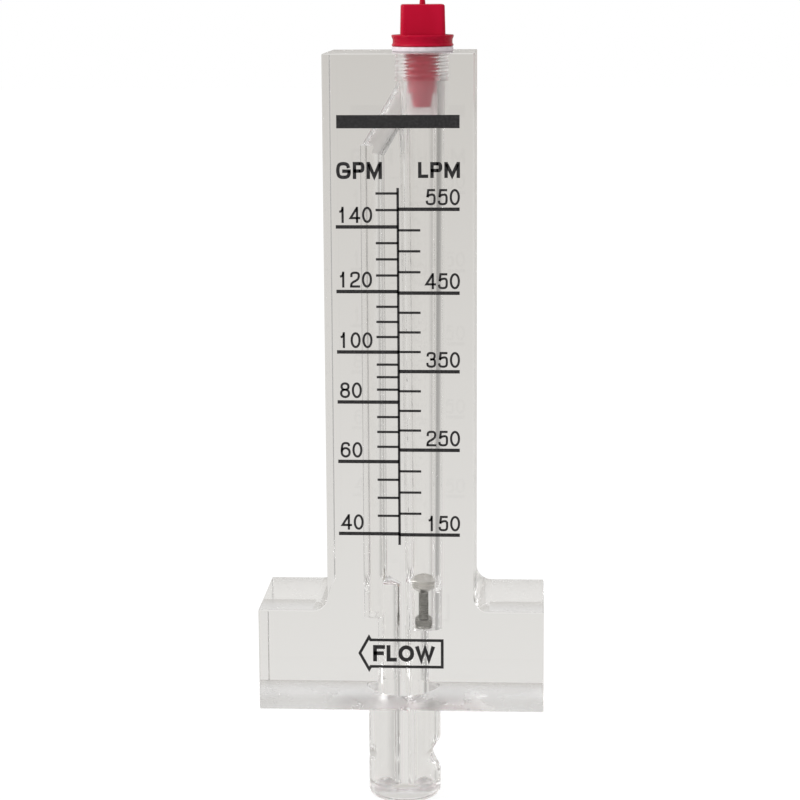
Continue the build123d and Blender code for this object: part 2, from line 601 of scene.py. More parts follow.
@dataclass(frozen=True)
class ThreadForm:
    """The right-handed thread that the plug and its port share."""

    axis_x: float = 4.15 * MM
    foot: float = 124.25 * MM
    pitch: float = 1.27 * MM
    root: float = 4.5 * MM
    crest: float = 5.2 * MM
    rows_per_pitch: int = 18
    run_out: float = 0.45

    def rows(self, low: float, high: float, radius: float) -> list[Corner]:
        """The rows that the thread is waved into.

        Args:
            low: Where they start.
            high: Where they end.
            radius: Their radius before they are moved.

        Returns:
            Corners of a turned profile.
        """
        count = round((high - low) / self.pitch * self.rows_per_pitch)
        return [(radius, low + (high - low) * row / count) for row in range(count + 1)]

    def _ridge(self, height: float, angle: float) -> float:
        """The thread's height at a place, from 0 at its root to 1 on its crest.

        Args:
            height: The place's height.
            angle: The place's angle about the axis.

        Returns:
            The share of the thread's depth.
        """
        flat = 0.09
        turns = (height - self.foot) / self.pitch - angle / (2 * pi)
        phase = turns - floor(turns)
        slope = min(1.0, max(0.0, (abs(phase - 0.5) - flat / 2) / (0.5 - flat)))
        return 1.0 - slope * slope * (3 - 2 * slope)

    def wave(self, mesh: bpy.types.Mesh, low: float, high: float, radius: float, play: float, ends: float) -> None:
        """Move the thread's rows in and out along the helix.

        Args:
            mesh: The turned mesh.
            low: Where the thread starts.
            high: Where the thread ends.
            radius: The rows' radius before they are moved.
            play: What is added to the thread's radius.
            ends: The share of the thread's depth at its two ends: 0 runs out to the root, 1 to the crest.
        """
        near = 0.02 * MM
        for corner in mesh.vertices:
            x, y, z = corner.co.x - self.axis_x, corner.co.y, corner.co.z
            if not (low - near < z < high + near and abs(sqrt(x * x + y * y) - radius) < near):
                continue
            fade = max(0.0, min(1.0, (z - low) / (self.run_out * self.pitch), (high - z) / (self.run_out * self.pitch)))
            ridge = self._ridge(z, atan2(y, x)) * fade + ends * (1 - fade)
            scale = (self.root + play + (self.crest - self.root) * ridge) / radius
            corner.co = (self.axis_x + x * scale, y * scale, z)


class Operation(Enum):
    """How one solid works on another."""

    CUT = "DIFFERENCE"
    JOIN = "UNION"


def combine(target: bpy.types.Object, operation: Operation, tool: bpy.types.Object) -> None:
    """Cut a tool out of a solid or join it on, and delete the tool.

    Args:
        target: The solid that is kept.
        operation: Whether the tool is cut out or joined on.
        tool: The other solid.
    """
    modifier = target.modifiers.new("combine", "BOOLEAN")
    modifier.operation = operation.value
    modifier.solver = "EXACT"
    modifier.material_mode = "TRANSFER"
    modifier.object = tool
    settle(target)
    bpy.data.objects.remove(tool)


def settle(target: bpy.types.Object) -> None:
    """Replace an object's mesh by what its modifiers make of it.

    Args:
        target: The object, which then has no modifiers.
    """
    graph = bpy.context.evaluated_depsgraph_get()
    made = bpy.data.meshes.new_from_object(target.evaluated_get(graph))
    target.modifiers.clear()
    target.data = made


def paint(target: bpy.types.Object, materials: Sequence[bpy.types.Material], index: int = 0) -> None:
    """Give an object its materials, with all its faces on one of them.

    Args:
        target: The object.
        materials: The materials of its slots.
        index: The slot that its faces use.
    """
    target.data.materials.clear()
    for material in materials:
        target.data.materials.append(material)
    for face in target.data.polygons:
        face.material_index = index


@dataclass
class AcrylicBody:
    """The block and the probe bonded into it: one clear solid with its bores."""

    block: tuple[Vector, Vector] = field(default_factory=lambda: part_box("meter_body"))
    probe: tuple[Vector, Vector] = field(default_factory=lambda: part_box("pitot_probe"))
    base_height: float = 20.4 * MM
    upright_width: float = 28.8 * MM
    waist_radius: float = 3.0 * MM
    edge_round: float = 0.35 * MM
    pipe_radius: float = 30.15 * MM
    bore_x: float = 4.15 * MM
    seat_radius: float = 3.66 * MM
    bore_top_radius: float = 4.55 * MM
    seat_height: float = 14.705 * MM
    port_radius: float = 5.25 * MM
    port_depth: float = 5.4 * MM
    countersink: float = 0.4 * MM
    thread: ThreadForm = ThreadForm(root=5.0 * MM)
    thread_play: float = 0.05 * MM
    # where the milky finish with its painted pink glow starts
    haze_foot: float = 116.2 * MM
    passage_radius: float = 2.38 * MM
    passage_x: float = 2.75 * MM
    drill_angle: float = 118.0
    channel_x: float = -5.5 * MM
    channel_foot: float = 17.005 * MM
    channel_top: float = 111.3 * MM
    passage_top: float = 24.005 * MM
    crossover_foot: float = 110.0 * MM
    crossover_mouth_x: float = 5.45 * MM
    probe_floor: float = 3.0 * MM
    probe_socket_top: float = 9.0 * MM
    tip_round: float = 1.5 * MM
    port_drop: float = 12.85 * MM
    scoop_radius: float = 4.1 * MM
    scoop_depth: float = 1.95 * MM
    static_radius: float = 1.6 * MM
    bore_sides: int = 128
    pipe_sides: int = 360

    def build(self) -> bpy.types.Object:
        """Build the solid and let it stand for the two CAD nodes.

        Returns:
            The acrylic solid.
        """
        body = self._blank()
        self._cut(body, self._pipe(), Face.MILLED)
        self._join(body, self._rod(), Face.MACHINED)
        self._cut(body, self._bore(), Face.REAMED)
        for tool in self._drillings():
            self._cut(body, tool, Face.DRILLED)
        # the crossover's finish carries a grey tint that is painted shade
        self._cut(body, self._crossover(), Face.CROSSED)
        self._cut(body, self._scoop(), Face.MACHINED)
        self._roughen_port(body)
        face_outwards(body.data)
        shade(body.data)
        body.name = body.data.name = "acrylic_body"
        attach(body, "block")
        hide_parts("meter_body", "pitot_probe")
        return body

    def _materials(self) -> list[bpy.types.Material]:
        """Return the acrylic's materials, made once."""
        return [bpy.data.materials.get(face.value.name) or face.value.make() for face in Face]

    def _cut(self, body: bpy.types.Object, tool: bpy.types.Object, finish: Face) -> None:
        """Cut a tool out of the body and leave its faces in the given finish."""
        paint(tool, self._materials(), list(Face).index(finish))
        combine(body, Operation.CUT, tool)

    def _join(self, body: bpy.types.Object, tool: bpy.types.Object, finish: Face) -> None:
        """Join a solid to the body, with its faces in the given finish."""
        paint(tool, self._materials(), list(Face).index(finish))
        combine(body, Operation.JOIN, tool)

    def _roughen_port(self, body: bpy.types.Object) -> None:
        """Give the tapped port a hazy finish, and the top of the bore, which the tap's chips scored, a milky one; both
        finishes also carry a pink tint, painted light for the red plug's glow.
        """
        order = list(Face)
        port_floor = self.block[1].z - self.port_depth
        for face in body.data.polygons:
            if order[face.material_index] is Face.REAMED and face.center.z > self.haze_foot:
                # painted light: these finishes carry the pink glow of the red plug
                haze_and_glow = Face.TAPPED if face.center.z > port_floor - self.countersink else Face.SCORED
                face.material_index = order.index(haze_and_glow)

    def _outline(self) -> list[Corner]:
        """The block's outline in X and Z: a wide base, an upright and a rounded waist."""
        half_base = self.block[1].x
        half_upright = self.upright_width / 2
        top = self.block[1].z
        shoulder = self.base_height + self.waist_radius
        right = (half_upright + self.waist_radius, shoulder)
        left = (-half_upright - self.waist_radius, shoulder)
        steps = 14
        return [
            (-half_base, 0.0),
            (half_base, 0.0),
            (half_base, self.base_height),
            *rounded_corner(right, self.waist_radius, 270, 180, steps),
            (half_upright, top),
            (-half_upright, top),
            *rounded_corner(left, self.waist_radius, 360, 270, steps),
            (-half_base, self.base_height),
        ]

    def _blank(self) -> bpy.types.Object:
        """The block before any hole: the outline, as deep as the CAD block, with its edges broken."""
        front, back = self.block[0].y, self.block[1].y
        outline = self._outline()
        count = len(outline)
        corners = [(x, front, z) for x, z in outline] + [(x, back, z) for x, z in outline]
        faces = [list(range(count)), list(range(2 * count - 1, count - 1, -1))]
        for step in range(count):
            following = (step + 1) % count
            faces.append([step, following, count + following, count + step])
        blank = mesh_object("blank", corners, faces)
        self._break_edges(blank.data, front, back)
        paint(blank, self._materials(), list(Face).index(Face.MACHINED))
        for face in blank.data.polygons:
            if abs(face.normal.y) > 0.99:
                face.material_index = list(Face).index(Face.CAST)
        return blank

    def _break_edges(self, mesh: bpy.types.Mesh, front: float, back: float) -> None:
        """Round the rims of the front and back faces and the outer corners a little.

        Args:
            mesh: The blank's mesh.
            front: Where the front face lies along Y; not used.
            back: Where the back face lies along Y; not used.
        """
        shape = bmesh.new()
        shape.from_mesh(mesh)
        corner_turn = radians(60)
        rims = [
            edge
            for edge in shape.edges
            if abs(edge.verts[0].co.y - edge.verts[1].co.y) < self.edge_round
            or edge.calc_face_angle(0.0) > corner_turn
        ]
        bmesh.ops.bevel(
            shape,
            geom=rims,
            offset=self.edge_round * 0.6,
            offset_type="OFFSET",
            segments=3,
            profile=0.5,
            affect="EDGES",
            clamp_overlap=True,
        )
        shape.to_mesh(mesh)
        shape.free()

    def _pipe(self) -> bpy.types.Object:
        """The pipe's cylinder along X, which hollows the saddle."""
        half_depth = self.block[1].y
        axis_z = -sqrt(self.pipe_radius ** 2 - half_depth ** 2)
        reach = 2 * self.block[1].x
        pipe = turned(
            "pipe",
            [(0, -reach), (self.pipe_radius, -reach), (self.pipe_radius, reach), (0, reach)],
            sides=self.pipe_sides,
        )
        pipe.data.transform(Matrix.Translation((0, 0, axis_z)) @ Matrix.Rotation(pi / 2, 4, "Y"))
        return pipe

    def _rod(self) -> bpy.types.Object:
        """The probe's rod, with its tip rounded, up to the top of its socket."""
        radius = self.probe[1].x
        tip = self.probe[0].z
        arc = rounded_corner((radius - self.tip_round, tip + self.tip_round), self.tip_round, 270, 360, 12)
        profile = [(0, tip), *arc, (radius, self.probe_socket_top), (0, self.probe_socket_top)]
        return turned("rod", profile, sides=self.bore_sides)

    def _drill(self, x: float, low: float, high: float, radius: float, cones: tuple[bool, bool]) -> bpy.types.Object:
        """A drilled hole with the drill's point at either end.

        Args:
            x: Where its axis stands along X.
            low: Where its full width starts.
            high: Where its full width ends.
            radius: Its radius.
            cones: Whether the drill's point is at the lower end and at the upper end.

        Returns:
            The drilling.
        """
        point = radius / tan(radians(self.drill_angle / 2))
        foot = low - point if cones[0] else low
        head = high + point if cones[1] else high
        return turned("drilling", [(0, foot), (radius, low), (radius, high), (0, head)], x, self.bore_sides)

    def _drillings(self) -> list[bpy.types.Object]:
        """Every plain hole: the two passages, the return channel and the probe's two holes."""
        floor_z = self.probe[0].z + self.probe_floor
        overrun = 0.4 * MM
        radius = self.passage_radius
        return [
            self._drill(self.passage_x, floor_z, self.seat_height + overrun, radius, (True, False)),
            self._drill(-self.passage_x, floor_z, self.passage_top, radius, (True, True)),
            self._drill(self.channel_x, self.channel_foot, self.channel_top, radius, (False, True)),
            self._crosswise(self.passage_x, 1, radius),
            self._crosswise(-self.passage_x, -1, self.static_radius),
        ]

    def _bore(self) -> bpy.types.Object:
        """The tapered bore, the port above it and the port's countersink."""
        top = self.block[1].z
        port_floor = top - self.port_depth
        low, high = port_floor + self.countersink, top - self.countersink
        share = (self.haze_foot - self.seat_height) / (port_floor - self.seat_height)
        haze_radius = self.seat_radius + (self.bore_top_radius - self.seat_radius) * share
        profile = [
            (0, self.seat_height),
            (self.seat_radius, self.seat_height),
            (haze_radius, self.haze_foot),
            (self.bore_top_radius, port_floor),
            (self.port_radius, port_floor),
            *self.thread.rows(low, high, self.port_radius),
            (self.port_radius + 2 * self.countersink, top + self.countersink),
            (0, top + self.countersink),
        ]
        bore = turned("bore", profile, self.bore_x, self.bore_sides)
        self.thread.wave(bore.data, low, high, self.port_radius, self.thread_play, 1.0)
        return bore

    def _crossover(self) -> bpy.types.Object:
        """The slanted drilling between the port and the return channel."""
        foot = Vector((self.channel_x, 0, self.crossover_foot))
        run = Vector((self.crossover_mouth_x, 0, self.block[1].z)) - foot
        radius = self.passage_radius
        profile = [(0, 0), (radius, 0), (radius, run.length), (0, run.length)]
        drilling = turned("crossover", profile, sides=self.bore_sides)
        tilt = atan2(run.x, run.z)
        drilling.data.transform(Matrix.Translation(foot) @ Matrix.Rotation(tilt, 4, "Y"))
        return drilling

    def _crosswise(self, x: float, side: int, radius: float) -> bpy.types.Object:
        """A hole through the probe's wall into a passage.

        Args:
            x: Where the passage stands along X.
            side: The direction along X that the hole runs in.
            radius: The hole's radius.

        Returns:
            The drilling.
        """
        length = self.probe[1].x
        hole = turned("hole", [(0, 0), (radius, 0), (radius, length), (0, length)], sides=self.bore_sides)
        hole.data.transform(Matrix.Translation((x, 0, -self.port_drop)) @ Matrix.Rotation(side * pi / 2, 4, "Y"))
        return hole

    def _scoop(self) -> bpy.types.Object:
        """The cutter that hollows the upstream side of the probe round its port."""
        x = self.probe[1].x - self.scoop_depth + self.scoop_radius
        reach = 2 * self.probe[1].x
        radius = self.scoop_radius
        cutter = turned("scoop", [(0, -reach), (radius, -reach), (radius, reach), (0, reach)], sides=self.bore_sides)
        cutter.data.transform(Matrix.Translation((x, 0, -self.port_drop)) @ Matrix.Rotation(pi / 2, 4, "X"))
        return cutter


@dataclass
class TopPlug:
    """The moulded plug: square head, dished flange, thread, pilot and tapered tip."""

    box: tuple[Vector, Vector] = field(default_factory=lambda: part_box("top_plug"))
    gasket: tuple[Vector, Vector] = field(default_factory=lambda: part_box("plug_gasket"))
    axis_x: float = 4.15 * MM
    thread: ThreadForm = ThreadForm()
    thread_length: float = 4.5 * MM
    neck_radius: float = 4.6 * MM
    flange_radius: float = 6.05 * MM
    flange_waist: float = 5.8 * MM
    flange_thickness: float = 2.2 * MM
    flange_lip: float = 0.45 * MM
    flange_dish: float = 0.5 * MM
    flange_rim: float = 0.7 * MM
    head_width: float = 8.7 * MM
    head_height: float = 5.8 * MM
    head_draft: float = 0.15 * MM
    head_corner: float = 0.8 * MM
    head_edge: float = 0.4 * MM
    head_sink: float = 0.12 * MM
    head_turn: float = 4.0
    gate_radius: float = 0.57 * MM
    pilot_radius: float = 4.0 * MM
    tip_radius: float = 3.2 * MM
    tip_end_radius: float = 2.6 * MM
    tip_length: float = 2.7 * MM
    edge: float = 0.2 * MM
    sides: int = 128

    def build(self) -> bpy.types.Object:
        """Build the plug and let it stand for its CAD node.

        Returns:
            The plug.
        """
        plug = self._stem()
        combine(plug, Operation.JOIN, self._head())
        combine(plug, Operation.JOIN, self._gate())
        face_outwards(plug.data)
        shade(plug.data)
        plug.name = plug.data.name = "red_plug"
        paint(plug, [MouldedFinish().make()])
        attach(plug, "plug")
        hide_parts("top_plug")
        return plug

    def _flange_profile(self) -> list[Corner]:
        """The flange from its foot, out over its rim and in to the foot of the head."""
        foot = self.gasket[1].z
        top = foot + self.flange_thickness
        radius = self.flange_radius
        waist = self.flange_waist
        return [
            (self.neck_radius, foot),
            *rounded_corner((waist, foot + self.edge), self.edge, 270, 380, 6),
            (waist, foot + 3 * self.edge),
            (waist, top - 2 * self.flange_lip),
            (radius - self.edge / 4, top - self.flange_lip),
            *rounded_corner((radius - self.edge, top - self.edge), self.edge, 0, 90, 6),
            (radius - self.flange_rim, top),
            (radius - 2 * self.flange_rim, top - self.flange_dish),
            (0, top - self.flange_dish),
        ]

    def _stem(self) -> bpy.types.Object:
        """The flange and everything below it, turned as one solid, with the thread waved into it."""
        low = self.box[0].z
        tip_top = low + self.tip_length
        foot = self.thread.foot
        top = foot + self.thread_length
        root = self.thread.root
        profile = [
            (0, low),
            *rounded_corner((self.tip_end_radius - self.edge, low + self.edge), self.edge, 270, 360, 5),
            (self.tip_radius, tip_top),
            (self.pilot_radius - self.edge, tip_top),
            (self.pilot_radius, tip_top + self.edge),
            (self.pilot_radius, foot - self.edge / 2),
            *self.thread.rows(foot, top, root),
            (self.neck_radius, top + self.edge / 2),
            *self._flange_profile(),
        ]
        stem = turned("stem", profile, self.axis_x, self.sides)
        self.thread.wave(stem.data, foot, top, root, 0.0, 0.0)
        return stem

    def _square(self, half: float, corner: float, height: float) -> list[Point]:
        """A square with rounded corners, turned as the head is turned.

        Args:
            half: Half the width of the square.
            corner: The radius of its corners.
            height: Its height.

        Returns:
            Its points.
        """
        points: list[Point] = []
        turn = Matrix.Rotation(radians(self.head_turn), 2)
        for quarter in range(4):
            start = 90 * quarter
            centre = (
                (half - corner) * (1 if quarter in (0, 3) else -1),
                (half - corner) * (1 if quarter in (0, 1) else -1),
            )
            for x, y in rounded_corner(centre, corner, start, start + 90, 8):
                at = turn @ Vector((x, y))
                points.append((self.axis_x + at.x, at.y, height))
        return points

    def _head(self) -> bpy.types.Object:
        """The square head, narrower at its top, with a rounded edge and a faint sink in its top face."""
        foot = self.gasket[1].z + self.flange_thickness - self.flange_dish - self.edge
        top = self.gasket[1].z + self.flange_thickness + self.head_height
        half = self.head_width / 2
        narrow = half - self.head_draft
        rows = [self._square(half, self.head_corner, foot)]
        steps = 6
        for step in range(steps + 1):
            angle = pi / 2 * step / steps
            inset = self.head_edge * (1 - cos(angle))
            height = top - self.head_edge * (1 - sin(angle))
            rows.append(self._square(narrow - inset, self.head_corner - inset, height))
        rows.append(self._square(narrow * 0.72, self.head_corner * 0.7, top - self.head_sink * 0.55))
        rows.append(self._square(narrow * 0.42, self.head_corner * 0.5, top - self.head_sink))
        count = len(rows[0])
        corners = [point for row in rows for point in row]
        faces: list[list[int]] = [list(range(count))]
        for index in range(len(rows) - 1):
            low = [index * count + step for step in range(count)]
            high = [step + count for step in low]
            faces.extend(_skin(low, high, count))
        faces.append([(len(rows) - 1) * count + step for step in range(count)])
        return mesh_object("head", corners, faces)

    def _gate(self) -> bpy.types.Object:
        """The stub left on the head where the mould was fed, broken off a little unevenly."""
        top = self.box[1].z
        foot = self.gasket[1].z + self.flange_thickness + self.head_height - 2 * self.head_edge
        radius = self.gate_radius
        profile = [(0, foot), (radius * 1.15, foot), (radius, top - radius), (radius * 0.9, top), (0, top - radius / 2)]
        gate = turned("gate", profile, self.axis_x, 32)
        lean = 0.35
        for corner in gate.data.vertices:
            if corner.co.z > top - radius:
                corner.co.z -= max(0.0, corner.co.x - self.axis_x) * lean
        return gate


@dataclass
class PlugGasket:
    """The pressed ring under the plug's flange."""

    box: tuple[Vector, Vector] = field(default_factory=lambda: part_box("plug_gasket"))
    axis_x: float = 4.15 * MM
    inner_radius: float = 4.65 * MM
    play: float = 0.02 * MM
    edge: float = 0.28 * MM
    sides: int = 128

    def build(self) -> bpy.types.Object:
        """Build the ring and let it stand for its CAD node.

        Returns:
            The gasket.
        """
        low, high = self.box[0].z, self.box[1].z - self.play
        outer = self.box[1].x - self.axis_x
        edge = self.edge
        profile = [
            *rounded_corner((outer - edge, low + edge), edge, 270, 360, 6),
            *rounded_corner((outer - edge, high - edge), edge, 0, 90, 6),
            *rounded_corner((self.inner_radius + edge, high - edge), edge, 90, 180, 6),
            *rounded_corner((self.inner_radius + edge, low + edge), edge, 180, 270, 6),
        ]
        gasket = turned("plug_ring", profile, self.axis_x, self.sides, ring=True)
        shade(gasket.data)
        paint(gasket, [GasketFinish().make()])
        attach(gasket, "gasket")
        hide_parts("plug_gasket")
        return gasket


@dataclass
class MeteringFloat:
    """The turned float: a wide head read against the scale, a thin stem and a foot."""

    box: tuple[Vector, Vector] = field(default_factory=lambda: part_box("metering_float"))
    axis_x: float = 4.15 * MM
    head_rim: float = 1.4 * MM
    head_taper: float = 1.4 * MM
    stem_radius: float = 1.5 * MM
    foot_radius: float = 2.6 * MM
    foot_height: float = 1.8 * MM
    edge: float = 0.15 * MM
    fillet: float = 0.3 * MM
    dimple_radius: float = 0.7 * MM
    dimple_depth: float = 0.35 * MM
    sides: int = 128

    def build(self) -> bpy.types.Object:
        """Build the float and let it stand for its CAD node.

        Returns:
            The float.
        """
        low, high = self.box[0].z, self.box[1].z
        head_radius = self.box[1].x - self.axis_x
        foot_top = low + self.foot_height
        rim = high - self.head_rim
        taper = rim - self.head_taper
        edge = self.edge
        profile = [
            (0, low),
            *rounded_corner((self.foot_radius - edge, low + edge), edge, 270, 360, 4),
            *rounded_corner((self.foot_radius - edge, foot_top - edge), edge, 0, 90, 4),
            *rounded_corner((self.stem_radius + self.fillet, foot_top + self.fillet), self.fillet, 270, 180, 5),
            (self.stem_radius, taper),
            (head_radius - edge / 2, rim - edge),
            (head_radius, rim),
            *rounded_corner((head_radius - edge, high - edge), edge, 0, 90, 4),
            (self.dimple_radius, high),
            (0, high - self.dimple_depth),
        ]
        made = turned("steel_float", profile, self.axis_x, self.sides)
        shade(made.data)
        paint(made, [TurnedSteelFinish().make()])
        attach(made, "float")
        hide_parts("metering_float")
        return made


@dataclass(frozen=True)
class Stroke:
    """One pull of the pen: a line in a box of 1 by 1, drawn straight from point to point or rounded.

    The reach says how far a straight line's two ends pass its end points, in half pens.
    """

    line: tuple[Corner, ...]
    rounded: bool = False
    closed: bool = False
    reach: Corner = (1.0, 1.0)

    def path(self) -> list[Corner]:
        """The line, with its corners cut three times where it is rounded."""
        points = list(self.line)
        for _ in range(3 if self.rounded else 0):
            following = points[1:] + points[:1] if self.closed else points[1:]
            cut: list[Corner] = []
            for (ax, ay), (bx, by) in zip(points, following):
                cut.append((0.75 * ax + 0.25 * bx, 0.75 * ay + 0.25 * by))
                cut.append((0.25 * ax + 0.75 * bx, 0.25 * ay + 0.75 * by))
            points = cut if self.closed else [points[0], *cut, points[-1]]
        return points


@dataclass(frozen=True)
class Glyph:
    """One character: its width and the space before it, in heights, and its strokes."""

    width: float
    strokes: tuple[Stroke, ...]
    before: float = 0.05
    after: float = 0.06


OVAL = ((0.3, 1.0), (0.7, 1.0), (1.0, 0.72), (1.0, 0.28), (0.7, 0.0), (0.3, 0.0), (0.0, 0.28), (0.0, 0.72))
LOW_RING = ((0.3, 0.62), (0.7, 0.62), (1.0, 0.46), (1.0, 0.17), (0.7, 0.0), (0.3, 0.0), (0.0, 0.17), (0.0, 0.46))
BOWL = ((0.5, 1.0), (1.0, 1.0), (1.0, 0.46), (0.5, 0.46))
GLYPHS: dict[str, Glyph] = {
    "0": Glyph(0.63, (Stroke(OVAL, True, True),)),
    "1": Glyph(
        0.38,
        (
            Stroke(((0.84, 0.0), (0.84, 1.0))),
            Stroke(((0.0, 0.72), (0.4, 0.74), (0.7, 0.82), (0.82, 0.98)), True),
        ),
        before=0.13,
        after=0.26,
    ),
    "2": Glyph(
        0.63,
        (
            Stroke(((0.03, 0.68), (0.05, 1.0), (0.95, 1.0), (1.0, 0.7), (0.82, 0.48), (0.04, 0.26), (0.0, 0.0)), True),
            Stroke(((0.0, 0.0), (1.0, 0.0))),
        ),
    ),
    "3": Glyph(
        0.63,
        (
            Stroke(((0.04, 0.74), (0.1, 1.0), (0.88, 1.0), (0.98, 0.76), (0.8, 0.53), (0.36, 0.53)), True),
            Stroke(((0.36, 0.53), (0.92, 0.55), (1.0, 0.28), (0.92, 0.0), (0.08, 0.0), (0.0, 0.28)), True),
        ),
    ),
    "4": Glyph(
        0.67,
        (
            Stroke(((0.76, 0.0), (0.76, 1.0))),
            Stroke(((0.74, 0.99), (0.0, 0.27), (1.0, 0.27)), reach=(0.0, 1.0)),
        ),
    ),
    "5": Glyph(
        0.63,
        (
            Stroke(((0.92, 1.0), (0.2, 1.0), (0.08, 0.49)), reach=(1.0, 0.0)),
            Stroke(((0.07, 0.5), (0.3, 0.66), (0.95, 0.7), (1.0, 0.32), (0.92, 0.0), (0.08, 0.0), (0.0, 0.25)), True),
        ),
    ),
    "6": Glyph(
        0.63,
        (
            Stroke(((0.95, 0.78), (0.86, 1.0), (0.14, 1.0), (0.0, 0.62), (0.0, 0.34)), True),
            Stroke(LOW_RING, True, True),
        ),
    ),
    "8": Glyph(
        0.63,
        (
            Stroke(
                (
                    (0.3, 1.0),
                    (0.7, 1.0),
                    (0.94, 0.88),
                    (0.94, 0.66),
                    (0.7, 0.54),
                    (0.3, 0.54),
                    (0.06, 0.66),
                    (0.06, 0.88),
                ),
                True,
                True,
            ),
            Stroke(
                (
                    (0.3, 0.54),
                    (0.7, 0.54),
                    (1.0, 0.4),
                    (1.0, 0.14),
                    (0.7, 0.0),
                    (0.3, 0.0),
                    (0.0, 0.14),
                    (0.0, 0.4),
                ),
                True,
                True,
            ),
        ),
    ),
    "F": Glyph(
        0.66,
        (
            Stroke(((0.0, 0.0), (0.0, 1.0), (1.0, 1.0))),
            Stroke(((0.0, 0.5), (0.86, 0.5))),
        ),
        before=0.03,
        after=0.03,
    ),
    "G": Glyph(
        0.82,
        (
            Stroke(
                (
                    (0.96, 0.68),
                    (0.84, 1.0),
                    (0.16, 1.0),
                    (0.0, 0.72),
                    (0.0, 0.28),
                    (0.16, 0.0),
                    (0.84, 0.0),
                    (1.0, 0.22),
                    (1.0, 0.47),
                ),
                True,
            ),
            Stroke(((1.0, 0.45), (0.54, 0.45))),
        ),
    ),
    "L": Glyph(0.56, (Stroke(((0.0, 1.0), (0.0, 0.0), (1.0, 0.0))),)),
    "M": Glyph(
        0.86,
        (
            Stroke(((0.0, 0.0), (0.0, 1.0))),
            Stroke(((1.0, 0.0), (1.0, 1.0))),
            Stroke(((0.05, 0.98), (0.5, 0.06), (0.95, 0.98)), reach=(0.0, 0.0)),
        ),
    ),
    "O": Glyph(0.86, (Stroke(OVAL, True, True),), before=0.03, after=0.03),
    "P": Glyph(
        0.66,
        (
            Stroke(((0.0, 0.0), (0.0, 1.0), (0.52, 1.0))),
            Stroke(BOWL, True),
            Stroke(((0.52, 0.46), (0.0, 0.46))),
        ),
    ),
    "W": Glyph(
        1.08,
        (Stroke(((0.0, 1.0), (0.26, 0.0), (0.5, 0.94), (0.74, 0.0), (1.0, 1.0)), reach=(0.6, 0.6)),),
        before=0.03,
        after=0.03,
    ),
}


@dataclass(frozen=True)
class Column:
    """One side of the scale: its marks and the numerals over the long ones."""

    heading: str
    heading_low: Corner
    heading_high: Corner
    majors: tuple[tuple[int, float], ...]
    step: int
    beyond: tuple[tuple[int, float], ...]
    long_end: float
    short_end: float
    numeral_edge: float
    side: int


class Unit(Enum):
    """The two columns of the scale, with the heights of their numbered marks."""

    GPM = Column(
        heading="GPM",
        heading_low=(-11.81 * MM, 105.50 * MM),
        heading_high=(-3.07 * MM, 108.74 * MM),
        majors=(
            (40, 36.12 * MM),
            (60, 50.55 * MM),
            (80, 62.33 * MM),
            (100, 72.15 * MM),
            (120, 83.91 * MM),
            (140, 96.36 * MM),
        ),
        step=5,
        beyond=((145, 99.58 * MM), (150, 102.75 * MM)),
        long_end=-12.0 * MM,
        short_end=-4.35 * MM,
        numeral_edge=-11.5 * MM,
        side=-1,
    )
    LPM = Column(
        heading="LPM",
        heading_low=(3.80 * MM, 105.69 * MM),
        heading_high=(11.77 * MM, 108.72 * MM),
        majors=(
            (150, 35.95 * MM),
            (250, 52.88 * MM),
            (350, 68.36 * MM),
            (450, 83.64 * MM),
            (550, 99.74 * MM),
        ),
        step=25,
        beyond=(),
        long_end=11.7 * MM,
        short_end=4.19 * MM,
        numeral_edge=11.75 * MM,
        side=1,
    )


